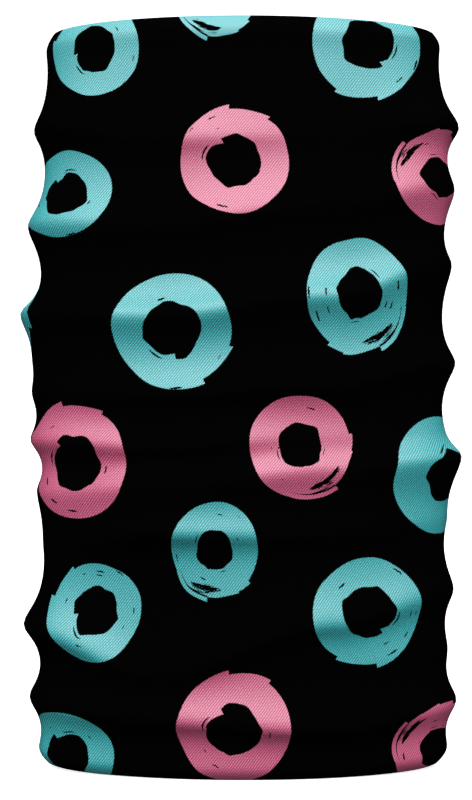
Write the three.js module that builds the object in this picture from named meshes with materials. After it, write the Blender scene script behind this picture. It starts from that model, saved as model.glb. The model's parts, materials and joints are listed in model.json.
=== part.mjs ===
// A neck gaiter: one panel of printed knit, wrapped into a tube and closed down the back
// by a flatlock seam, with a small care label caught in the seam.
// Millimetres, +Z up. The front of the tube faces -Y and the seam is at +Y.
import * as THREE from 'three';

// Tube
const HEIGHT = 423;           // rim to rim, as the gathered tube stands
const HALF_WIDTH = 111;       // middle to side fold, in the valleys of the folds
const HALF_DEPTH = 22.5;      // middle to the front or back wall, in the valleys
const CLOTH = 0.8;            // thickness of the knit
const EDGE_GAP = 0.4;         // between the panel's two butted edges
const COLUMNS = 44;           // facets around the tube
const ROWS = 54;              // facets up the tube

// Flatlock seam
const THREAD = 0.6;           // diameter of a row of stitches
const THREAD_SIDES = 6;
const NEEDLE_ROWS = 4;
const NEEDLE_SPACING = 2;     // from one needle row to the next
const THREAD_CLEARANCE = 0.3; // between a thread and what it lies on
const TACK_OVERHANG = 1;      // past the outer needle rows on each side
const TACK_HEIGHT = 1.6;
const TACK_FROM_RIM = 4;      // rim to the tack's middle

// Care label
const LABEL_LENGTH = 32;      // from the seam to the free edge
const LABEL_HEIGHT = 25;      // along the seam
const LABEL_THICKNESS = 0.4;
const LABEL_FROM_RIM = 81;    // top rim to the label's middle, in a valley of the back wall
const LABEL_ANGLE = 10;       // degrees off the back wall
const LABEL_CLEARANCE = 0.4;  // between the label and the seam's inner thread

// Soft folds that ring the tube. Each has its crest's height in percent of the tube's, and how
// proud it stands, at four places: the left side fold, the left and the right of the front, and
// the right side fold. Above and below are how far it spreads from its crest at the sides.
const FOLDS = [
  { crest: [97.6, 97.6, 97.6, 98.8], proud: [1.5, 1.5, 1.5, 1.5], above: 8, below: 9 },
  { crest: [86.1, 83.5, 84.2, 86.5], proud: [8.5, 5.5, 1.5, 11.5], above: 16, below: 12 },
  { crest: [73, 72.3, 74.9, 78], proud: [12, 8.5, 8.5, 9.5], above: 16, below: 19 },
  { crest: [61.2, 60.5, 63.1, 67.8], proud: [14.5, 11, 11.5, 7.5], above: 11, below: 20 },
  { crest: [54.8, 52.7, 54.6, 56.7], proud: [4, 0.5, 0.5, 0], above: 20, below: 20 },
  { crest: [50.6, 50.4, 51.5, 54.6], proud: [6, 8.5, 8.5, 10], above: 13, below: 15 },
  { crest: [44.2, 43.5, 44.9, 46.3], proud: [9, 9, 2, 1], above: 12, below: 10 },
  { crest: [37.4, 38.5, 40.7, 42.1], proud: [6.5, 11, 9, 13.5], above: 10, below: 24 },
  { crest: [30.3, 32.4, 31.9, 33.6], proud: [1, 9.5, 6, 2], above: 12, below: 12 },
  { crest: [19.4, 14.2, 20.8, 24.1], proud: [14, 8, 9.5, 8.5], above: 17, below: 14 },
  { crest: [13.2, 13.7, 15.1, 16.1], proud: [0, 0, 0.5, 4.5], above: 16, below: 16 },
  { crest: [9.2, 8.5, 7.3, 8.7], proud: [10.5, 12, 12, 10], above: 14, below: 15 },
  { crest: [1.4, 1.4, 1.4, 1.7], proud: [5, 3, 3, 4.5], above: 12, below: 14 },
];
const FRONT_ABOVE = 1.15;     // a fold's spread above its crest at the front, as a share
const FRONT_BELOW = 0.62;     // and below it
const CREST_ROUNDING = 0.45;  // higher is rounder

// The section runs once around from the seam, over the right side fold, the front and the left.
const BACK = Math.PI / 2;
const TURN = Math.PI * 2;
const section = new THREE.EllipseCurve(0, 0, HALF_WIDTH, HALF_DEPTH, BACK, BACK + TURN, true);

// Eases between a fold's values at its four places. Behind the tube it eases from one side to
// the other through the mean of the front's two.
function ease([left, frontLeft, frontRight, far], right, front) {
  const { smoothstep } = THREE.MathUtils;
  if (front > 0) {
    return left + (frontLeft - left) * smoothstep(right, -1, -0.45)
      + (frontRight - frontLeft) * smoothstep(right, -0.45, 0.45)
      + (far - frontRight) * smoothstep(right, 0.45, 1);
  }
  const middle = (frontLeft + frontRight) / 2;
  return left + (middle - left) * smoothstep(right, -1, 0) + (far - middle) * smoothstep(right, 0, 1);
}

// How far the folds push the wall out, at a share of the way around and a height.
function foldDepth(around, z) {
  const right = Math.cos(BACK - around * TURN);
  const front = -Math.sin(BACK - around * TURN);
  let depth = 0;
  for (const fold of FOLDS) {
    const rise = z - (ease(fold.crest, right, front) * HEIGHT) / 100;
    const spread = rise > 0
      ? fold.above * (1 + (FRONT_ABOVE - 1) * front ** 2)
      : fold.below * (1 + (FRONT_BELOW - 1) * front ** 2);
    const away = Math.hypot((1.25 * rise) / spread, CREST_ROUNDING);
    depth += ease(fold.proud, right, front) * Math.exp(CREST_ROUNDING - away);
  }
  return depth;
}

// Between two rows of facets the wall is straight, so a thread that lies on it is straight too.
function wallDepth(around, z) {
  const row = HEIGHT / ROWS;
  const below = Math.min(Math.floor(z / row), ROWS - 1);
  const share = z / row - below;
  return (1 - share) * foldDepth(around, below * row) + share * foldDepth(around, (below + 1) * row);
}

// A place on the wall, at a share of the way around, a distance outward from the middle of the
// cloth, and a height. Even shares are even steps of the ellipse's angle, which crowd together
// around the side folds.
function onWall(around, out, z) {
  const share = THREE.MathUtils.euclideanModulo(around, 1);
  const place = section.getPoint(share);
  const along = section.getTangent(share);
  const outward = wallDepth(share, z) + out;
  return new THREE.Vector3(place.x - along.y * outward, place.y + along.x * outward, z);
}

// Wraps a flat piece around the tube: x runs around it from the seam, y outward and z up.
// Beside the seam, x is also the distance along the cloth.
const WRAP = TURN * HALF_WIDTH;

function wrap(geometry) {
  const position = geometry.getAttribute('position');
  for (let i = 0; i < position.count; i += 1) {
    const place = onWall(position.getX(i) / WRAP, position.getY(i), position.getZ(i));
    position.setXYZ(i, place.x, place.y, place.z);
  }
  geometry.computeVertexNormals();
  return geometry;
}

function tubePanel() {
  const flat = new THREE.BoxGeometry(WRAP - EDGE_GAP, CLOTH, HEIGHT, COLUMNS, 1, ROWS);
  flat.translate(WRAP / 2, 0, HEIGHT / 2);
  return wrap(flat);
}

// One row of stitches up the seam: x is its distance from the seam's middle, and out is its
// distance from the middle of the cloth.
function threadRow(x, out) {
  const flat = new THREE.CylinderGeometry(THREAD / 2, THREAD / 2, HEIGHT, THREAD_SIDES, ROWS);
  flat.rotateX(Math.PI / 2);
  flat.translate(x, out, HEIGHT / 2);
  return wrap(flat);
}

const seamWidth = NEEDLE_SPACING * (NEEDLE_ROWS - 1);
const threadOut = CLOTH / 2 + THREAD_CLEARANCE + THREAD / 2;
const tackOut = threadOut + THREAD + THREAD_CLEARANCE;

function tack(z) {
  const flat = new THREE.BoxGeometry(seamWidth + 2 * TACK_OVERHANG, THREAD, TACK_HEIGHT, 4, 1, 1);
  flat.translate(0, tackOut, z);
  return wrap(flat);
}

// The label's hinge line is upright, just inside the seam's inner thread, as deep in the tube
// as the wall comes anywhere along the label.
function labelHinge() {
  const middle = HEIGHT - LABEL_FROM_RIM;
  const inside = -(threadOut + THREAD / 2 + LABEL_CLEARANCE + LABEL_THICKNESS / 2);
  let y = Infinity;
  for (let z = middle - LABEL_HEIGHT / 2; z <= middle + LABEL_HEIGHT / 2; z += 1) {
    y = Math.min(y, onWall(0, inside, z).y);
  }
  return new THREE.Vector3(0, y, middle);
}

function careLabel() {
  const geometry = new THREE.BoxGeometry(LABEL_LENGTH, LABEL_THICKNESS, LABEL_HEIGHT);
  geometry.translate(LABEL_LENGTH / 2, 0, 0);
  return geometry;
}

function finish(color, roughness) {
  return new THREE.MeshStandardMaterial({ color, roughness, metalness: 0 });
}

function add(parent, name, geometry, material) {
  const mesh = new THREE.Mesh(geometry, material);
  mesh.name = name;
  parent.add(mesh);
  return mesh;
}

const gaiter = new THREE.Group();
add(gaiter, 'tube_panel', tubePanel(), finish('#2b6a70', 0.7));

const seam = new THREE.Group();
gaiter.add(seam);
for (let i = 0; i < NEEDLE_ROWS; i += 1) {
  const x = i * NEEDLE_SPACING - seamWidth / 2;
  add(seam, `needle_thread_${i + 1}`, threadRow(x, threadOut), finish('#151517', 0.8));
}
add(seam, 'cover_thread', threadRow(0, threadOut), finish('#1b1b1d', 0.8));
add(seam, 'looper_thread', threadRow(0, -threadOut), finish('#1b1b1d', 0.8));
add(seam, 'top_tack', tack(HEIGHT - TACK_FROM_RIM), finish('#151517', 0.8));
add(seam, 'bottom_tack', tack(TACK_FROM_RIM), finish('#151517', 0.8));

const label = add(gaiter, 'care_label', careLabel(), finish('#ece9e2', 0.5));
label.position.copy(labelHinge());
label.rotation.z = -THREE.MathUtils.degToRad(LABEL_ANGLE);

// The origin is in the plane of the bottom rim, under the middle of the tube's box.
const box = new THREE.Box3().setFromObject(gaiter);
const middle = box.getCenter(new THREE.Vector3());
gaiter.position.set(-middle.x, -middle.y, -box.min.z);

export default gaiter;
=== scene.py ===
"""A neck gaiter: one panel of printed jersey wrapped into a tube, closed down the back by a
flatlock seam, with a blank satin care label caught in the seam. Sizes are in millimetres, and
become metres as each mesh, lamp or camera is made."""

import json
import math

import bpy
import numpy as np
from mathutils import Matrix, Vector


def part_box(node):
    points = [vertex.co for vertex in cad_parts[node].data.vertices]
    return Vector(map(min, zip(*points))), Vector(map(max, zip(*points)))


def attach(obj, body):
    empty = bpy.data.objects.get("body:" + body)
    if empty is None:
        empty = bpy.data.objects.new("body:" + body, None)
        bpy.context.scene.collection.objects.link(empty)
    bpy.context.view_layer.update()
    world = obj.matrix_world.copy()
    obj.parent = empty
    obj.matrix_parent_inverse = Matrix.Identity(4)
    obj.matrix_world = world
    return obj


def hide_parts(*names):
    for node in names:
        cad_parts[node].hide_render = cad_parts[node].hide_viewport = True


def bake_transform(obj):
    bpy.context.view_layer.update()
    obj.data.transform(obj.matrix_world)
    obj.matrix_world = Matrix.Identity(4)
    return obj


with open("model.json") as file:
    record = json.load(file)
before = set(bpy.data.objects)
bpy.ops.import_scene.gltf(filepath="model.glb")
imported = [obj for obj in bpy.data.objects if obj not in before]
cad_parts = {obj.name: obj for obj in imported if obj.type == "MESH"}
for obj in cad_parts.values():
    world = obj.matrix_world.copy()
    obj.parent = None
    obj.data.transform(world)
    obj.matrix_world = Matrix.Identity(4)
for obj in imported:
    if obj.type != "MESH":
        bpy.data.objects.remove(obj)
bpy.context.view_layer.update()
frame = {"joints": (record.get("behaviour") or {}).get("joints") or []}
MM = 0.001
TURN = 2 * math.pi

# ---------------------------------------------------------------- sizes, in millimetres
PANEL_LOW, PANEL_HIGH = (np.array(corner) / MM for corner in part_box("tube_panel"))
HEIGHT = PANEL_HIGH[2] - PANEL_LOW[2]
HALF_WIDTH = 111
HALF_DEPTH = 22.5
CLOTH = 0.7
EDGE_GAP = 0.02

# The wall's grid: columns round it, rows up it, and rows in each rolled rim.
COLUMNS = 320
ROWS = 150
RIM_ROWS = 9

# Each rim rolls in over a short height, and leans towards mid height at the sides.
RIM_ROLL = 9
RIM_ROLL_IN = 2.8
RIM_DROOP = 4
RIM_DROOP_REACH = 70

NEEDLE_ROWS = 4
NEEDLE_SPACING = 2
STITCH = 2.4
THREAD = 0.32
THREAD_SIDES = 6
SEAM_COLUMNS = 5
SEAM_PUCKER = 0.22
PUCKER_REACH = 9
PUCKER_LENGTH = 7.3
TACK_FROM_RIM = 4
TACK_HALF_WIDTH = 4.0
TACK_LENGTH = 1.6
TACK_CROSSINGS = 11

LABEL_LENGTH = 32
LABEL_HEIGHT = 25
LABEL_COLUMNS = 46
LABEL_ROWS = 25
LABEL_CLOTH = 0.09
LABEL_CURL = 1.3
LABEL_WAVE = 0.35
WARP_SPACING = 0.28
WEFT_SPACING = 0.9

# Soft folds that ring the tube: the height of the crest at the left side, on the left and the
# right of the front and at the right side, how proud it stands at the same four places, and how
# far it spreads above and below its crest at the sides. At the front a fold spreads by these
# shares of that, so it is softer above and tighter below.
FOLDS = [
    ((413, 413, 413, 418), (1.5, 1.5, 1.5, 1.5), (8, 9)),
    ((364, 353, 356, 366), (8.5, 5.5, 1.5, 11.5), (16, 12)),
    ((309, 306, 317, 330), (12.0, 8.5, 8.5, 9.5), (16, 19)),
    ((259, 256, 267, 287), (14.5, 11.0, 11.5, 7.5), (11, 20)),
    ((232, 223, 231, 240), (4.0, 0.5, 0.5, 0.0), (20, 20)),
    ((214, 213, 218, 231), (6.0, 8.5, 8.5, 10.0), (13, 15)),
    ((187, 184, 190, 196), (9.0, 9.0, 2.0, 1.0), (12, 10)),
    ((158, 163, 172, 178), (6.5, 11.0, 9.0, 13.5), (10, 24)),
    ((128, 137, 135, 142), (1.0, 9.5, 6.0, 2.0), (12, 12)),
    ((82, 60, 88, 102), (14.0, 8.0, 9.5, 8.5), (17, 14)),
    ((56, 58, 64, 68), (0.0, 0.0, 0.5, 4.5), (16, 16)),
    ((39, 36, 31, 37), (10.5, 12.0, 12.0, 10.0), (14, 15)),
    ((6, 6, 6, 7), (5.0, 3.0, 3.0, 4.5), (12, 14)),
]
FRONT_SPREAD = (1.15, 0.62)
FRONT_PLACE = 0.45
CREST_ROUNDING = 0.45
FALL_RATE = 1.25

# Rings of the print: distance round the cloth from the front middle (right is positive) and
# height as worn, half width, half height, colour, brush style, the direction in degrees in which
# its stroke ends, and 1 if it was brushed the other way round.
RINGS = [
    (-16, 437, 24, 27, "teal", "dry", 261, 1),
    (70, 408, 32, 30, "teal", "lap", 305, 0),
    (-85, 406, 27, 27, "teal", "lap", 190, 0),
    (-5, 341, 31, 30, "pink", "lap", 121, 0),
    (112, 335, 29, 26, "pink", "dry", 137, 0),
    (-101, 325, 28, 25, "teal", "lap", 127, 1),
    (63, 268, 29, 32, "teal", "dry", 296, 0),
    (-39, 248, 33, 32, "teal", "lap", 276, 1),
    (-147, 255, 30, 30, "teal", "lap", 60, 0),
    (31, 185, 28, 29, "pink", "dry", 313, 1),
    (-94, 175, 31, 32, "pink", "lap", 128, 0),
    (116, 167, 33, 34, "teal", "dry", 0, 0),
    (-16, 128, 24, 27, "teal", "dry", 261, 1),
    (69, 93, 31, 30, "teal", "lap", 305, 0),
    (-83, 93, 26, 27, "teal", "lap", 190, 0),
    (-5, 30, 31, 31, "pink", "lap", 121, 0),
    (112, 14, 29, 26, "pink", "dry", 137, 0),
    (-100, 12, 28, 25, "teal", "lap", 127, 1),
    (160, 397, 30, 30, "teal", "lap", 200, 0),
    (232, 372, 29, 30, "pink", "dry", 140, 1),
    (183, 326, 28, 28, "teal", "lap", 80, 0),
    (158, 255, 29, 29, "pink", "lap", 300, 1),
    (238, 300, 31, 30, "teal", "dry", 20, 0),
    (196, 226, 28, 29, "teal", "lap", 250, 1),
    (246, 182, 29, 29, "pink", "lap", 120, 0),
    (192, 148, 27, 28, "teal", "dry", 60, 0),
    (150, 88, 28, 28, "pink", "lap", 190, 0),
    (224, 92, 29, 30, "teal", "lap", 330, 1),
    (184, 30, 29, 30, "teal", "dry", 220, 0),
    (244, 20, 28, 28, "pink", "lap", 45, 0),
    (-158, 388, 29, 30, "pink", "lap", 10, 1),
    (-228, 400, 30, 30, "teal", "dry", 90, 0),
    (-176, 318, 28, 29, "teal", "lap", 170, 0),
    (-244, 332, 29, 29, "pink", "lap", 260, 0),
    (-218, 262, 31, 31, "teal", "lap", 35, 1),
    (-162, 196, 27, 28, "pink", "dry", 150, 1),
    (-236, 192, 30, 30, "teal", "lap", 310, 0),
    (-150, 122, 28, 28, "teal", "lap", 100, 0),
    (-214, 116, 29, 30, "pink", "dry", 240, 0),
    (-152, 46, 29, 29, "teal", "lap", 70, 1),
    (-222, 40, 30, 31, "teal", "dry", 290, 0),
]
RING_SEED_STEP = 3.7

# The panel's faces by kind. From the third kind on they are cut: two rims, then two seam edges.
OUTER_FACE = 0
INNER_FACE = 1
FIRST_RIM = 2
FIRST_EDGE = 4

# The flat layout, in shares of a square: where each face of the cloth starts and how far it goes,
# where the strips for the cuts start, how far apart they are and how wide.
LAYOUT_MARGIN = 0.005
LAYOUT_OUTER = (0.335, 0.66)
LAYOUT_INNER = (0.035, 0.29)
STRIP_START = 0.003
STRIP_STEP = 0.007
STRIP_WIDTH = 0.005


# ---------------------------------------------------------------- the shape of the wall
def smooth(x, low, high):
    """0 at low and below, 1 at high and above, smooth between."""
    t = np.clip((x - low) / (high - low), 0, 1)
    return t * t * (3 - 2 * t)


def around_tube(right, front, values):
    """Eases between values at the left side, the front's left and right, and the right side.
    The back eases from one side to the other through the mean of the front's two."""
    left, front_left, front_right, far = values
    middle = (front_left + front_right) / 2
    ahead = left + (front_left - left) * smooth(right, -1, -FRONT_PLACE)
    ahead = ahead + (front_right - front_left) * smooth(right, -FRONT_PLACE, FRONT_PLACE)
    ahead = ahead + (far - front_right) * smooth(right, FRONT_PLACE, 1)
    behind = left + (middle - left) * smooth(right, -1, 0) + (far - middle) * smooth(right, 0, 1)
    return np.where(front > 0, ahead, behind)


def fold_depth(turn, z):
    """How far the folds push the wall out, at an angle of the section and a height."""
    right, front = np.cos(turn), -np.sin(turn)
    depth = np.zeros(np.broadcast(turn, z).shape)
    for heights, proud, spread in FOLDS:
        above = z - around_tube(right, front, heights)
        reach = [side * (1 + (share - 1) * front**2) for side, share in zip(spread, FRONT_SPREAD)]
        away = FALL_RATE * above / np.where(above > 0, reach[0], reach[1])
        rounded = np.exp(CREST_ROUNDING - np.hypot(away, CREST_ROUNDING))
        depth += around_tube(right, front, proud) * rounded
    return depth


def wall():
    """The middle of the cloth: rows up the tube by columns from the seam, over the right side
    fold, the front and the left side fold, and back to the seam."""
    rim = np.linspace(0, RIM_ROLL, RIM_ROWS)
    body = np.linspace(RIM_ROLL, HEIGHT - RIM_ROLL, ROWS)
    z = np.concatenate([rim[:-1], body, HEIGHT - rim[::-1][1:]])[:, None]
    gap = EDGE_GAP / 2 / HALF_WIDTH
    turn = np.linspace(math.pi / 2 - gap, -1.5 * math.pi + gap, COLUMNS + 1)[None, :]
    cos, sin = np.cos(turn), np.sin(turn)
    outward = np.stack([HALF_DEPTH * cos, HALF_WIDTH * sin], -1)
    outward /= np.linalg.norm(outward, axis=-1, keepdims=True)
    from_rim = np.minimum(z, HEIGHT - z)
    roll = RIM_ROLL_IN * np.clip(1 - from_rim / RIM_ROLL, 0, 1) ** 2
    beside_seam = np.minimum(abs(turn - math.pi / 2), abs(turn + 1.5 * math.pi)) * HALF_WIDTH
    pucker = SEAM_PUCKER * np.sin(z * TURN / PUCKER_LENGTH)
    out = fold_depth(turn, z) - roll + pucker * np.exp(-((beside_seam / PUCKER_REACH) ** 2))
    x = HALF_WIDTH * cos + outward[..., 0] * out
    y = HALF_DEPTH * sin + outward[..., 1] * out
    droop = RIM_DROOP * (1 - abs(sin)) * (1 - smooth(from_rim, 0, RIM_DROOP_REACH))
    z = z + droop * np.where(z < HEIGHT / 2, 1, -1)
    return np.stack([x, y, z + 0 * x], -1)


def normals(surface):
    """Unit outward normals of a grid of points."""
    up = np.gradient(surface, axis=0)
    along = np.gradient(surface, axis=1)
    normal = np.cross(up, along)
    return normal / np.linalg.norm(normal, axis=-1, keepdims=True)


def centred(surface):
    """Moves the wall so that its box is centred where the panel's is."""
    flat = surface.reshape(-1, 3)
    middle = (flat.min(0) + flat.max(0)) / 2
    shift = (PANEL_LOW + PANEL_HIGH) / 2 - middle
    shift[2] = 0
    return surface + shift


def cloth_places(surface):
    """Where each point lies on the flat panel: distance round from the front middle, and up.
    The third value is the panel's cut length."""
    steps = np.linalg.norm(np.diff(surface[..., :2], axis=1), axis=-1).mean(0)
    around = np.concatenate([[0], np.cumsum(steps)])
    around = around[len(around) // 2] - around
    rises = np.linalg.norm(np.diff(surface, axis=0), axis=-1)
    up = np.concatenate([np.zeros((1, rises.shape[1])), np.cumsum(rises, axis=0)])
    length = up[-1].mean()
    up *= length / up[-1]
    return np.broadcast_to(around, up.shape), up, length


# ---------------------------------------------------------------- mesh making
def new_piece(name, points, faces, materials):
    """A smooth-shaded object, from points in millimetres."""
    mesh = bpy.data.meshes.new(name)
    mesh.from_pydata((np.asarray(points) * MM).tolist(), [], faces)
    for material in materials:
        mesh.materials.append(material)
    mesh.polygons.foreach_set("use_smooth", [True] * len(faces))
    mesh.update()
    piece = bpy.data.objects.new(name, mesh)
    bpy.context.collection.objects.link(piece)
    return piece


def vector_attribute(mesh, name, domain, values):
    """Three numbers for each point or face corner, which a material reads by name."""
    made = mesh.attributes.new(name, "FLOAT_VECTOR", domain)
    made.data.foreach_set("vector", np.asarray(values, np.float32).ravel())


def grid_faces(rows, columns, start=0):
    """Quads over a grid of rows by columns points, from the point numbered start."""
    i, j = np.meshgrid(np.arange(rows - 1), np.arange(columns - 1), indexing="ij")
    a = (start + i * columns + j).ravel()
    return np.stack([a, a + columns, a + columns + 1, a + 1], -1)


def slab_faces(rows, columns):
    """The faces of a thick cloth whose outer grid of points comes before its inner one: the
    outer face, the inner face, the first and last rows' rims and the two ends' edges."""
    count = rows * columns
    j = np.arange(columns - 1)
    top = (rows - 1) * columns + j
    start = np.arange(rows - 1) * columns
    end = start + columns - 1
    return [
        grid_faces(rows, columns),
        grid_faces(rows, columns, count)[:, ::-1],
        np.stack([j, j + 1, count + j + 1, count + j], -1),
        np.stack([top, count + top, count + top + 1, top + 1], -1),
        np.stack([start, count + start, count + start + columns, start + columns], -1),
        np.stack([end, end + columns, count + end + columns, count + end], -1),
    ]


def tube_piece(surface, materials):
    """The panel with its thickness, its faces and the kind of each face."""
    out = normals(surface) * CLOTH / 2
    points = np.concatenate([(surface + out).reshape(-1, 3), (surface - out).reshape(-1, 3)])
    parts = slab_faces(*surface.shape[:2])
    faces = np.concatenate(parts)
    kinds = np.repeat(np.arange(len(parts)), [len(part) for part in parts])
    piece = new_piece("printed_tube", points, faces.tolist(), materials)
    slots = np.minimum(kinds, FIRST_RIM).astype(np.int32)
    piece.data.polygons.foreach_set("material_index", slots)
    return piece, faces, kinds


def bake_layout(piece, faces, kinds, around, up_share):
    """A flat layout of the panel: its outer face above its inner face, and under them a strip for
    each rim and each seam edge."""
    corners = faces.ravel()
    count = around.size
    round_share = (0.5 - around / np.ptp(around)).ravel()[corners % count]
    rise = up_share.ravel()[corners % count]
    kind = np.repeat(kinds, 4)
    along = np.where(kind >= FIRST_EDGE, rise, round_share)
    u = along * (1 - 2 * LAYOUT_MARGIN) + LAYOUT_MARGIN
    strips = STRIP_START + STRIP_STEP * (kind - FIRST_RIM) + STRIP_WIDTH * (corners >= count)
    outer, inner = (low + length * rise for low, length in (LAYOUT_OUTER, LAYOUT_INNER))
    v = np.select([kind == OUTER_FACE, kind == INNER_FACE], [outer, inner], strips)
    layer = piece.data.uv_layers.new(name="OFBake")
    layer.data.foreach_set("uv", np.stack([u, v], -1).astype(np.float32).ravel())


def print_attributes(piece, faces, surface, around, up):
    """Cloth coordinates on the points, and each face corner's place in its nearest ring. Rings
    go by height as worn, because the cloth stretches a little where a fold is steep."""
    flat = np.stack([around, up, 0 * up], -1).reshape(-1, 3)
    vector_attribute(piece.data, "cloth", "POINT", np.concatenate([flat, flat]))
    worn = np.stack([around, surface[..., 2]], -1).reshape(-1, 2)
    worn = np.concatenate([worn, worn])
    centres = np.array([ring[:2] for ring in RINGS], float)
    sizes = np.array([ring[2:4] for ring in RINGS], float)
    middles = worn[faces].mean(1)
    offsets = (middles[:, None, :] - centres[None]) / sizes[None]
    nearest = np.argmin((offsets**2).sum(-1), axis=1)
    corner_ring = np.repeat(nearest, 4)
    local = (worn[faces.ravel()] - centres[corner_ring]) / sizes[corner_ring]
    turns = np.radians([ring[6] for ring in RINGS])[corner_ring]
    mirrors = np.array([1 - 2 * ring[7] for ring in RINGS])[corner_ring]
    cos, sin = np.cos(turns), np.sin(turns)
    x = local[:, 0] * cos + local[:, 1] * sin
    y = (local[:, 1] * cos - local[:, 0] * sin) * mirrors
    place = np.stack([x, y, corner_ring * RING_SEED_STEP], -1)
    vector_attribute(piece.data, "ring_place", "CORNER", place)
    pink = np.array([ring[4] == "pink" for ring in RINGS], float)[corner_ring]
    dry = np.array([ring[5] == "dry" for ring in RINGS], float)[corner_ring]
    vector_attribute(piece.data, "ring_kind", "CORNER", np.stack([pink, dry, 0 * dry], -1))


# ---------------------------------------------------------------- node writing
class Field:
    """A number that changes over the surface: a socket that plain arithmetic adds nodes to."""

    def __init__(self, tree, socket):
        self.tree, self.socket = tree, socket

    def math(self, operation, *others, clamp=False):
        node = self.tree.nodes.new("ShaderNodeMath")
        node.operation, node.use_clamp = operation, clamp
        for slot, value in zip(node.inputs, (self, *others)):
            feed(self.tree, value, slot)
        return Field(self.tree, node.outputs[0])

    def __add__(self, other):
        return self.math("ADD", other)

    def __sub__(self, other):
        return self.math("SUBTRACT", other)

    def __mul__(self, other):
        return self.math("MULTIPLY", other)

    def __truediv__(self, other):
        return self.math("DIVIDE", other)

    def minus_from(self, value):
        """value minus this."""
        return (self * -1) + value

    def clamped(self):
        return self.math("ADD", 0, clamp=True)

    def rise(self, low, high):
        """0 below low, 1 above high, smooth between. Either may be a field. With high below
        low it falls from 1 to 0 instead."""
        node = self.tree.nodes.new("ShaderNodeMapRange")
        node.interpolation_type = "SMOOTHSTEP"
        for slot, value in (("Value", self), ("From Min", low), ("From Max", high)):
            feed(self.tree, value, node.inputs[slot])
        return Field(self.tree, node.outputs["Result"])


def feed(tree, value, slot):
    """Puts a field, a socket or a constant into a node's input."""
    if isinstance(value, Field):
        tree.links.new(value.socket, slot)
    elif isinstance(value, bpy.types.NodeSocket):
        tree.links.new(value, slot)
    else:
        slot.default_value = value


def combine(tree, x, y, z):
    node = tree.nodes.new("ShaderNodeCombineXYZ")
    for slot, value in zip(node.inputs, (x, y, z)):
        feed(tree, value, slot)
    return node.outputs[0]


def separate(tree, vector):
    node = tree.nodes.new("ShaderNodeSeparateXYZ")
    tree.links.new(vector, node.inputs[0])
    return [Field(tree, output) for output in node.outputs]


def noise(tree, vector, scale, detail=2.0, roughness=0.5):
    node = tree.nodes.new("ShaderNodeTexNoise")
    tree.links.new(vector, node.inputs["Vector"])
    node.inputs["Scale"].default_value = scale
    node.inputs["Detail"].default_value = detail
    node.inputs["Roughness"].default_value = roughness
    return Field(tree, node.outputs["Fac"])


def attribute(tree, name):
    node = tree.nodes.new("ShaderNodeAttribute")
    node.attribute_name = name
    return node.outputs["Vector"]


def new_group(name, inputs, outputs):
    """A node group. inputs and outputs are (name, kind, starting value) and (name, kind)."""
    tree = bpy.data.node_groups.new(name, "ShaderNodeTree")
    for label, kind, value in inputs:
        socket = tree.interface.new_socket(label, in_out="INPUT", socket_type=kind)
        if value is not None:
            socket.default_value = value
    for label, kind in outputs:
        tree.interface.new_socket(label, in_out="OUTPUT", socket_type=kind)
    return tree, tree.nodes.new("NodeGroupInput"), tree.nodes.new("NodeGroupOutput")


def place_group(tree, group, **values):
    """A group in a tree, with what each of its inputs is given."""
    node = tree.nodes.new("ShaderNodeGroup")
    node.node_tree = group
    for name, value in values.items():
        feed(tree, value, node.inputs[name.capitalize()])
    return node


def srgb(text):
    """A linear colour with alpha from a six-figure sRGB one."""
    parts = [int(text[i : i + 2], 16) / 255 for i in (0, 2, 4)]
    return [p / 12.92 if p <= 0.04045 else ((p + 0.055) / 1.055) ** 2.4 for p in parts] + [1.0]


# A Mix node's colour sockets, which share their names with its other kinds.
COLOUR_A, COLOUR_B, COLOUR_RESULT = 6, 7, 2


def mix_colour(tree, share, first, second):
    node = tree.nodes.new("ShaderNodeMix")
    node.data_type = "RGBA"
    feed(tree, share, node.inputs["Factor"])
    feed(tree, first, node.inputs[COLOUR_A])
    feed(tree, second, node.inputs[COLOUR_B])
    return node.outputs[COLOUR_RESULT]


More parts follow.
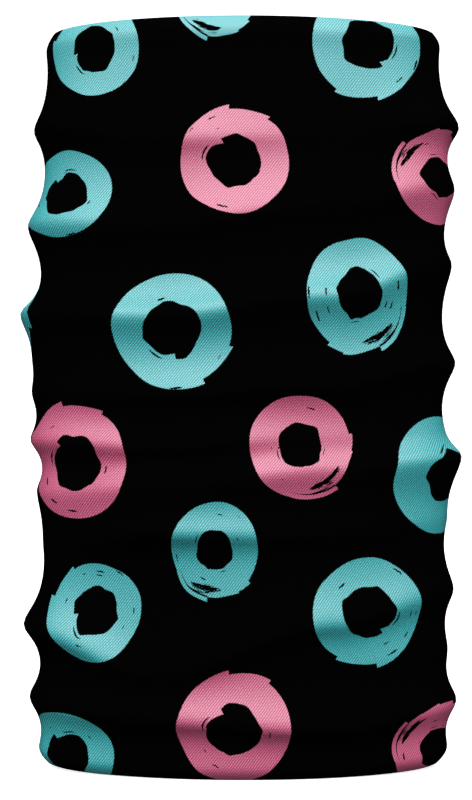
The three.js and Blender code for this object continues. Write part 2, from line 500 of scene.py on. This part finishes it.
# ---------------------------------------------------------------- effects shared by materials
def brush_ring_group():
    """The paint of one brushed ring. Place is a point in the ring's own frame, where the outer
    edge is near 1 and the stroke ends at +X, and its third value picks the ring's own wobble.
    Dry is 1 for a ring whose brush ran dry, which trails off in a thin tail."""
    tree, given, result = new_group(
        "Brush ring",
        [("Place", "NodeSocketVector", None), ("Dry", "NodeSocketFloat", 0.0)],
        [("Paint", "NodeSocketFloat")],
    )
    x, y, seed = separate(tree, given.outputs["Place"])
    dry = Field(tree, given.outputs["Dry"])
    lap = dry.minus_from(1)
    radius = (x * x + y * y).math("SQRT")
    turn = y.math("ARCTAN2", x) * (1 / TURN)
    circle = combine(tree, x / radius, y / radius, seed)
    edge = noise(tree, combine(tree, x, y, seed), 24, 3, 0.6) - 0.5
    turn = turn + edge * 0.008

    def stroke_end(at, width):
        """Rises clockwise along a stretch of the ring and stops sharply at its end."""
        behind = (turn - at).math("FRACT")
        return (behind * (-1 / width) + 1).math("MAXIMUM", 0.0).math("POWER", 1.5)

    def bump(at, half):
        """1 in the middle of a stretch of the ring, 0 past its ends."""
        away = (turn - at + 0.5).math("FRACT") - 0.5
        return (away * away * (-1 / half**2) + 1).math("MAXIMUM", 0.0)

    wobble = noise(tree, circle, 0.9, 1) - 0.5
    outer = wobble * 0.17 + edge * 0.012 + 0.985
    lap_step = stroke_end(-0.07, 0.13) * 0.085 + stroke_end(-0.19, 0.12) * 0.07
    dry_step = stroke_end(-0.114, 0.06) * 0.03 + stroke_end(-0.164, 0.11) * 0.065
    outer = outer + lap_step * lap + dry_step * dry

    hole_wobble = noise(tree, circle, 1.3, 1) - 0.5
    corners = (turn * (TURN * 2) + seed * 5 + wobble * 5).math("SINE")
    corners = (corners * corners + 0.03).math("SQRT")
    inner = hole_wobble * 0.12 + edge * 0.008 - corners * 0.05 - dry * 0.05 + 0.515
    inner = inner - stroke_end(0.0, 0.14) * 0.095 * lap
    soft = 0.008
    ring = radius.rise(inner - soft, inner + soft) * radius.rise(outer + soft, outer - soft)

    def arc(at_radius, half_thickness, at, half):
        """A thin arc that tapers at both ends."""
        thickness = bump(at, half) * half_thickness
        away = (radius - at_radius).math("ABSOLUTE")
        return away.rise(thickness, thickness - 0.01)

    slit = arc(inner + 0.06, 0.022, 0.115, 0.055) * lap
    slit_two = arc(inner + 0.055, 0.017, 0.31, 0.05) * dry
    slit_three = arc(inner + 0.06, 0.014, 0.91, 0.04) * dry
    ring = ring * slit.math("MAXIMUM", slit_two).math("MAXIMUM", slit_three).minus_from(1)

    # Small dashes where the bristles skipped.
    cells = tree.nodes.new("ShaderNodeTexVoronoi")
    cells.inputs["Scale"].default_value = 1
    spot = combine(tree, turn * 13 + seed, radius * 15 + edge * 0.8, seed)
    tree.links.new(spot, cells.inputs["Vector"])
    chosen = separate(tree, cells.outputs["Color"])[0].rise(0.905, 0.91)
    near = Field(tree, cells.outputs["Distance"]).rise(0.27, 0.22)
    ring = ring * (chosen * near).minus_from(1)

    # Where the brush ran dry: a ragged gap, and a thin tail outside it.
    ragged = noise(tree, combine(tree, turn * 22, radius * 34, seed), 1, 3, 0.7)
    gap_size = (bump(0.015, 0.075) * (ragged - 0.25)).math("MAXIMUM", 0.0) * 0.3 * dry
    gap_away = (radius - (outer - 0.16) - (ragged - 0.5) * 0.12).math("ABSOLUTE")
    ring = ring * gap_away.rise(gap_size - soft, gap_size)
    streak = arc(outer - 0.05, 0.02, 0.055, 0.05) * dry
    ring = ring * streak.minus_from(1)
    along_tail = (turn.math("FRACT") * (-1 / 0.15) + 1).math("MAXIMUM", 0.0)
    tail_shown = turn.math("FRACT").rise(0.0, 0.004) * along_tail.rise(0.0, 0.02) * dry
    tail_radius = outer + along_tail * 0.09 - 0.03
    tail = (radius - tail_radius).math("ABSOLUTE").rise(0.045, 0.035) * tail_shown
    parting = (radius - (tail_radius - 0.055)).math("ABSOLUTE")
    parted = parting.rise(along_tail * 0.028 + 0.004, along_tail * 0.02) * tail_shown
    ring = ring * parted.minus_from(1)
    paint = ring.math("MAXIMUM", tail)
    tree.links.new(paint.socket, result.inputs["Paint"])
    return tree


def knit_group():
    """The knit's fine slanting lines, from a place on the flat cloth in millimetres."""
    tree, given, result = new_group(
        "Knit lines",
        [
            ("Cloth", "NodeSocketVector", None),
            ("Spacing", "NodeSocketFloat", 1.23),
            ("Slant", "NodeSocketFloat", 53.0),
        ],
        [("Line", "NodeSocketFloat"), ("Height", "NodeSocketFloat")],
    )
    x, y, _ = separate(tree, given.outputs["Cloth"])
    spacing = Field(tree, given.outputs["Spacing"])
    slant = Field(tree, given.outputs["Slant"]).math("RADIANS")
    cos, sin = slant.math("COSINE"), slant.math("SINE")
    drift = noise(tree, given.outputs["Cloth"], 0.05, 2) - 0.5
    across = (x * sin - y * cos) / spacing + drift * 1.2
    along = (x * cos + y * sin) / (spacing * 1.7)
    line = (across * TURN).math("SINE") * 0.5 + 0.5
    row = across.math("FLOOR") * 0.5
    stitch = ((along + row) * TURN).math("SINE") * 0.5 + 0.5
    uneven = noise(tree, given.outputs["Cloth"], 0.9, 2)
    shown = line.rise(0.3, 0.75) * (stitch * 0.4 + 0.62) * (uneven * 0.7 + 0.6)
    tree.links.new(shown.clamped().socket, result.inputs["Line"])
    height = line.math("POWER", 0.7) * (stitch * 0.4 + 0.6)
    tree.links.new(height.socket, result.inputs["Height"])
    return tree


def new_material(name):
    """A material, its node tree and its shader."""
    material = bpy.data.materials.new(name)
    material.use_nodes = True
    return material, material.node_tree, material.node_tree.nodes["Principled BSDF"]


def add_bump(tree, shader, height, distance, strength=1.0):
    node = tree.nodes.new("ShaderNodeBump")
    node.inputs["Distance"].default_value = distance
    node.inputs["Strength"].default_value = strength
    feed(tree, height, node.inputs["Height"])
    tree.links.new(node.outputs[0], shader.inputs["Normal"])


# ---------------------------------------------------------------- materials
def printed_face(brush, knit):
    """The outer face: black ink all over, with brushed rings in teal and pink."""
    material, tree, shader = new_material("printed_jersey")
    pink, dry, _ = separate(tree, attribute(tree, "ring_kind"))
    ring = place_group(tree, brush, place=attribute(tree, "ring_place"), dry=dry)
    paint = Field(tree, ring.outputs["Paint"])
    lines = place_group(tree, knit, cloth=attribute(tree, "cloth"))
    line = Field(tree, lines.outputs["Line"])
    low = mix_colour(tree, pink, srgb("027c80"), srgb("9a2f59"))
    high = mix_colour(tree, pink, srgb("20c9cf"), srgb("ea6592"))
    colour = mix_colour(tree, line, low, high)
    shown = mix_colour(tree, paint, srgb("030303"), colour)
    tree.links.new(shown, shader.inputs["Base Color"])
    tree.links.new((paint * (line * 0.3 + 0.68)).socket, shader.inputs["Coat Weight"])
    shader.inputs["Roughness"].default_value = 0.8
    shader.inputs["Coat Roughness"].default_value = 0.65
    shader.inputs["Coat IOR"].default_value = 2.6
    shader.inputs["Specular IOR Level"].default_value = 0.0
    add_bump(tree, shader, Field(tree, lines.outputs["Height"]), 0.1 * MM)
    return material


def knit_back(brush, knit):
    """The inner face: unprinted white yarn, greyed where the black ink has struck through."""
    material, tree, shader = new_material("jersey_back")
    pink, dry, _ = separate(tree, attribute(tree, "ring_kind"))
    ring = place_group(tree, brush, place=attribute(tree, "ring_place"), dry=dry)
    paint = Field(tree, ring.outputs["Paint"])
    lines = place_group(tree, knit, cloth=attribute(tree, "cloth"), spacing=0.9, slant=90.0)
    line = Field(tree, lines.outputs["Line"])
    tint = mix_colour(tree, pink, srgb("c9dcdc"), srgb("e3cdd2"))
    ghost = mix_colour(tree, paint, srgb("8d8f92"), tint)
    shown = mix_colour(tree, line * 0.35, ghost, srgb("f1f0ee"))
    tree.links.new(shown, shader.inputs["Base Color"])
    tree.links.new((line * -0.08 + 0.9).socket, shader.inputs["Roughness"])
    add_bump(tree, shader, Field(tree, lines.outputs["Height"]), 0.15 * MM)
    return material


def cut_edge():
    """The cut edge of the knit: dark ink over pale yarn, a little fuzzy."""
    material, tree, shader = new_material("cut_edge")
    fuzz = noise(tree, attribute(tree, "cloth"), 2.2, 3, 0.7)
    shown = mix_colour(tree, fuzz.rise(0.35, 0.75), srgb("101011"), srgb("5c5d60"))
    tree.links.new(shown, shader.inputs["Base Color"])
    shader.inputs["Roughness"].default_value = 0.95
    add_bump(tree, shader, fuzz, 0.15 * MM)
    return material


def thread_material():
    """Matt black textured thread, with its ply twisting round it."""
    material, tree, shader = new_material("black_thread")
    along, around, _ = separate(tree, attribute(tree, "thread"))
    ply = ((along * 2.2 + around) * TURN).math("SINE") * 0.5 + 0.5
    shown = mix_colour(tree, ply, srgb("0c0c0d"), srgb("38383b"))
    tree.links.new(shown, shader.inputs["Base Color"])
    tree.links.new((ply * -0.15 + 0.8).socket, shader.inputs["Roughness"])
    shader.inputs["Specular IOR Level"].default_value = 0.25
    add_bump(tree, shader, ply, 0.05 * MM)
    return material


def satin_material():
    """White woven satin: fine warp lines, a denser border along both long edges."""
    material, tree, shader = new_material("white_satin")
    x, y, _ = separate(tree, attribute(tree, "label"))
    warp = (x * (TURN / WARP_SPACING)).math("SINE") * 0.5 + 0.5
    stepped = y + (x / WARP_SPACING).math("FLOOR") * 0.4
    weft = (stepped * (TURN / WEFT_SPACING)).math("SINE") * 0.5 + 0.5
    border = y.math("ABSOLUTE").rise(LABEL_HEIGHT / 2 - 1.6, LABEL_HEIGHT / 2 - 1.2)
    cloud = noise(tree, attribute(tree, "label"), 0.35, 3)
    weave = warp * (weft * 0.3 + 0.7)
    tone = weave * 0.5 + cloud * 0.5
    plain = mix_colour(tree, tone, srgb("d9d5cc"), srgb("faf8f3"))
    shown = mix_colour(tree, border * 0.5, plain, srgb("cfcac0"))
    tree.links.new(shown, shader.inputs["Base Color"])
    tree.links.new((weave * -0.12 + 0.5).socket, shader.inputs["Roughness"])
    add_bump(tree, shader, weave + border * 0.6, 0.05 * MM)
    return material


# ---------------------------------------------------------------- seam threads
def seam_strip(surface):
    """The wall near the seam: x across it, and the points of each row."""
    strip = np.concatenate([surface[:, -SEAM_COLUMNS:], surface[:, :SEAM_COLUMNS]], axis=1)
    middle = (surface[:, -1] + surface[:, 0]) / 2
    across = (strip - middle[:, None])[..., 0].mean(0)
    return across, strip


def on_seam(surface, x, row, out):
    """Points beside the seam: x across, row may fall between rows, out is outward."""
    across, strip = seam_strip(surface)
    below = np.clip(np.floor(row).astype(int), 0, len(strip) - 2)
    share = (row - below)[:, None]
    found = []
    for line in (below, below + 1):
        columns = np.clip(np.searchsorted(across, x) - 1, 0, len(across) - 2)
        t = ((x - across[columns]) / (across[columns + 1] - across[columns]))[:, None]
        found.append((1 - t) * strip[line, columns] + t * strip[line, columns + 1])
    place = (1 - share) * found[0] + share * found[1]
    slope = found[1] - found[0]
    outward = np.stack([np.zeros(len(x)), slope[:, 2], -slope[:, 1]], -1)
    outward /= np.linalg.norm(outward, axis=-1, keepdims=True)
    return place + outward * np.asarray(out)[:, None]


def thread_piece(name, path, radius, material):
    """A round thread along a path, closed at both ends."""
    sides = THREAD_SIDES
    forward = np.gradient(path, axis=0)
    forward /= np.linalg.norm(forward, axis=1, keepdims=True)
    side = np.cross(forward, [0.0, 1.0, 0.0])
    side /= np.maximum(np.linalg.norm(side, axis=1, keepdims=True), 1e-9)
    third = np.cross(side, forward)
    angles = np.arange(sides) * TURN / sides
    taper = np.full(len(path), radius)
    taper[[0, -1]] = radius * 0.5
    circle = np.cos(angles)[:, None] * side[:, None] + np.sin(angles)[:, None] * third[:, None]
    rings = path[:, None] + circle * taper[:, None, None]
    faces = []
    for i in range(len(path) - 1):
        for k in range(sides):
            a, b = i * sides + k, i * sides + (k + 1) % sides
            faces.append((a, b, b + sides, a + sides))
    faces.append(tuple(range(sides))[::-1])
    last = (len(path) - 1) * sides
    faces.append(tuple(range(last, last + sides)))
    piece = new_piece(name, rings.reshape(-1, 3), faces, [material])
    lengths = np.concatenate([[0], np.cumsum(np.linalg.norm(np.diff(path, axis=0), axis=1))])
    along = np.repeat(lengths, sides)
    around = np.tile(np.arange(sides) / sides, len(path))
    vector_attribute(piece.data, "thread", "POINT", np.stack([along, around, 0 * along], -1))
    return piece


def up_seam(surface):
    """How far up the seam each row of the wall is, along the cloth."""
    rises = np.linalg.norm(np.diff(surface[:, 0], axis=0), axis=1)
    return np.concatenate([[0], np.cumsum(rises)])


def stitch_rows(surface, from_rim, per_stitch):
    """Row positions of a line of stitches, and how far along its stitch each one is."""
    up = up_seam(surface)
    length = up[-1] - 2 * from_rim
    count = int(length / STITCH)
    phase = np.arange(count * per_stitch + 1) / per_stitch
    along = from_rim + phase * length / count
    return np.interp(along, up, np.arange(len(up))), phase


def needle_row(surface, index, material):
    """A row of needle stitches: each stands proud, then dips into the cloth."""
    x = index * NEEDLE_SPACING - NEEDLE_SPACING * (NEEDLE_ROWS - 1) / 2
    row, phase = stitch_rows(surface, from_rim=1.0, per_stitch=8)
    dip = np.cos(phase * TURN)
    out = CLOTH / 2 + THREAD * 0.1 - THREAD * 0.75 * np.maximum(dip, -0.4)
    lean = 0.12 * np.sin(phase * TURN)
    path = on_seam(surface, x + lean, row, out)
    return thread_piece(f"needle_stitches_{index + 1}", path, THREAD / 2, material)


def crossing_thread(surface, name, side, material):
    """The thread that crosses the seam from one outer needle row to the other and back."""
    row, phase = stitch_rows(surface, from_rim=1.6, per_stitch=16)
    half = NEEDLE_SPACING * (NEEDLE_ROWS - 1) / 2 + 0.2
    swing = np.sin(phase * TURN)
    x = half * np.clip(swing * 1.25, -1, 1)
    out = side * (CLOTH / 2 + THREAD + 0.06 * np.cos(phase * TURN * 3))
    path = on_seam(surface, x, row, out)
    return thread_piece(name, path, THREAD * 0.45, material)


def tack_piece(surface, name, from_bottom, material):
    """A bar tack: a short dense zigzag across the seam."""
    up = up_seam(surface)
    middle = TACK_FROM_RIM if from_bottom else up[-1] - TACK_FROM_RIM
    steps = 10
    phase = np.arange(TACK_CROSSINGS * steps + 1) / steps
    across = abs((phase % 2) - 1) * 2 - 1
    along = middle + (phase / TACK_CROSSINGS - 0.5) * TACK_LENGTH
    row = np.interp(along, up, np.arange(len(up)))
    out = CLOTH / 2 + THREAD * 2.1 - 0.5 * abs(across) ** 6
    path = on_seam(surface, TACK_HALF_WIDTH * across, row, out)
    return thread_piece(name, path, THREAD * 0.42, material)


# ---------------------------------------------------------------- care label
def label_piece(surface, material):
    """A folded satin label: two leaves from the seam that meet in a fold at the free edge."""
    hinge = np.array(frame["joints"][0]["pos_m"]) / MM
    low, high = (np.array(corner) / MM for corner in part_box("care_label"))
    angle = math.atan2(high[1] - low[1], high[0] - low[0])
    s = np.linspace(0, 1, LABEL_COLUMNS)
    y = np.linspace(-0.5, 0.5, LABEL_ROWS) * LABEL_HEIGHT
    wall_y = (surface[:, 0, 1] + surface[:, -1, 1]) / 2
    sewn_y = np.interp(hinge[2] + y, surface[:, 0, 2], wall_y) - CLOTH / 2 - 0.25
    x = hinge[0] + s * LABEL_LENGTH * math.cos(angle)
    curl = LABEL_CURL * np.sin(math.pi * s * 0.9) ** 2
    drop = hinge[1] - s * LABEL_LENGTH * math.sin(angle) - curl
    sewn = (sewn_y - hinge[1])[:, None] * (1 - smooth(s, 0, 0.28))
    wave = LABEL_WAVE * np.sin(y / LABEL_HEIGHT * 4.2 + 0.6)[:, None] * s**2
    apart = 0.16 + 0.55 * np.sin(math.pi * s) ** 2 * (1 - 0.4 * s)
    apart = apart * np.sqrt(np.clip((1 - s) / 0.05, 0, 1))
    leaves = []
    for leaf in (1, -1):
        across = x + leaf * apart * math.sin(angle)
        back = drop + leaf * apart + sewn + wave
        leaves.append(np.stack(np.broadcast_arrays(across, back, (hinge[2] + y)[:, None]), -1))
    loop = np.concatenate([leaves[0], leaves[1][:, ::-1][:, 1:]], axis=1)
    out = np.cross(np.gradient(loop, axis=1), np.gradient(loop, axis=0))
    out *= LABEL_CLOTH / np.maximum(np.linalg.norm(out, axis=-1, keepdims=True), 1e-9)
    points = np.concatenate([(loop + out).reshape(-1, 3), loop.reshape(-1, 3)])
    faces = np.concatenate([part[:, ::-1] for part in slab_faces(*loop.shape[:2])])
    piece = new_piece("satin_label", points, faces.tolist(), [material])
    reach = np.concatenate([s, 2 - s[::-1][1:]]) * LABEL_LENGTH
    place = np.stack(np.broadcast_arrays(reach[None], y[:, None], 0.0), -1).reshape(-1, 3)
    vector_attribute(piece.data, "label", "POINT", np.concatenate([place, place]))
    return piece, hinge, angle


# ---------------------------------------------------------------- stage, light, camera
CAMERA_DISTANCE = 560
CAMERA_ASIDE = -2.9
CAMERA_LOWER = 1.55
VIEW_HEIGHT = 460.6
SENSOR = 36

# The sweep: a floor from its front edge back to a quarter round, and a wall above that.
SWEEP_FRONT = -1200
SWEEP_BACK = 1100
SWEEP_ROUND = 600
SWEEP_TOP = 3000
SWEEP_HALF_WIDTH = 3000
FLOOR_BELOW = 0.3

# Lamps: name, place, width and height in metres, power in watts, and whether the camera and
# glossy surfaces see them.
LAMPS = [
    ("key_softbox", (0.0, -2.4, 2.6), (3.2, 1.0), 133, True, True),
    ("front_fill", (-0.3, -1.8, 0.35), (1.6, 1.6), 13.5, True, False),
    ("back_fill", (0.1, 1.0, 1.15), (1.6, 0.9), 15, False, True),
    ("top_fill", (0.0, 0.0, 1.7), (0.9, 0.5), 7, False, True),
]
WORLD_LIGHT = 0.13


def area_lamp(name, place, size, power, in_view, in_gloss):
    """A soft rectangular lamp that faces the middle of the tube."""
    data = bpy.data.lights.new(name, "AREA")
    data.shape, data.size, data.size_y = "RECTANGLE", size[0], size[1]
    data.energy = power
    lamp = bpy.data.objects.new(name, data)
    lamp.location = place
    facing = Vector((0, 0, HEIGHT / 2 * MM)) - Vector(place)
    lamp.rotation_euler = facing.to_track_quat("-Z", "Y").to_euler()
    lamp.visible_camera = in_view
    lamp.visible_glossy = in_gloss
    bpy.context.collection.objects.link(lamp)


def sweep_piece():
    """The pale floor, which curves up into a wall behind."""
    curve = [(math.sin(a), 1 - math.cos(a)) for a in np.linspace(0, math.pi / 2, 16)]
    profile = [(SWEEP_FRONT, 0)]
    profile += [(SWEEP_BACK + SWEEP_ROUND * y, SWEEP_ROUND * z) for y, z in curve]
    profile.append((SWEEP_BACK + SWEEP_ROUND, SWEEP_TOP))
    sides = (-SWEEP_HALF_WIDTH, SWEEP_HALF_WIDTH)
    points = [(x, y, z - FLOOR_BELOW) for x in sides for y, z in profile]
    count = len(profile)
    faces = [(i, i + count, i + count + 1, i + 1) for i in range(count - 1)]
    material, _, shader = new_material("studio_sweep")
    shader.inputs["Base Color"].default_value = srgb("fbfbfb")
    shader.inputs["Roughness"].default_value = 1.0
    shader.inputs["Specular IOR Level"].default_value = 0.0
    shader.inputs["Emission Color"].default_value = srgb("ffffff")
    shader.inputs["Emission Strength"].default_value = 0.75
    floor = new_piece("studio_floor", points, faces, [material])
    floor.visible_diffuse = False
    floor.visible_glossy = False
    return floor


def studio():
    """The sweep, the lamps and a world that looks white but lights the tube only weakly."""
    sweep_piece()
    for lamp in LAMPS:
        area_lamp(*lamp)
    world = bpy.data.worlds.new("studio")
    world.use_nodes = True
    tree = world.node_tree
    background = tree.nodes["Background"]
    background.inputs["Color"].default_value = (1, 1, 1, 1)
    path = tree.nodes.new("ShaderNodeLightPath")
    in_view = Field(tree, path.outputs["Is Camera Ray"])
    feed(tree, in_view * (1 - WORLD_LIGHT) + WORLD_LIGHT, background.inputs["Strength"])
    bpy.context.scene.world = world
    world.cycles_visibility.glossy = False
    bpy.context.scene.view_settings.view_transform = "Standard"


def camera():
    """Looks straight at the front, at mid height."""
    data = bpy.data.cameras.new("camera")
    data.lens = SENSOR * CAMERA_DISTANCE / VIEW_HEIGHT
    data.sensor_width = SENSOR
    data.clip_start = 0.01
    made = bpy.data.objects.new("camera", data)
    made.location = Vector((CAMERA_ASIDE, -CAMERA_DISTANCE, HEIGHT / 2 - CAMERA_LOWER)) * MM
    made.rotation_euler = (math.pi / 2, 0, 0)
    bpy.context.collection.objects.link(made)
    bpy.context.scene.camera = made


# ---------------------------------------------------------------- build
camera()
studio()
brush, knit = brush_ring_group(), knit_group()
surface = centred(wall())

cloths = [printed_face(brush, knit), knit_back(brush, knit), cut_edge()]
tube, tube_faces, face_kinds = tube_piece(surface, cloths)
around, up, cut_length = cloth_places(surface)
print_attributes(tube, tube_faces, surface, around, up)
bake_layout(tube, tube_faces, face_kinds, around, up / cut_length)
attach(tube, "tube")
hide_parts("tube_panel")

thread = thread_material()
stitches = []
for index in range(NEEDLE_ROWS):
    stitches.append((needle_row(surface, index, thread), f"needle_thread_{index + 1}"))
stitches.append((crossing_thread(surface, "cover_stitches", 1, thread), "cover_thread"))
stitches.append((crossing_thread(surface, "looper_stitches", -1, thread), "looper_thread"))
stitches.append((tack_piece(surface, "top_bar_tack", False, thread), "top_tack"))
stitches.append((tack_piece(surface, "bottom_bar_tack", True, thread), "bottom_tack"))
for piece, node in stitches:
    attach(piece, "tube")
    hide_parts(node)

label, hinge, angle = label_piece(surface, satin_material())
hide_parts("care_label")
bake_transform(label)
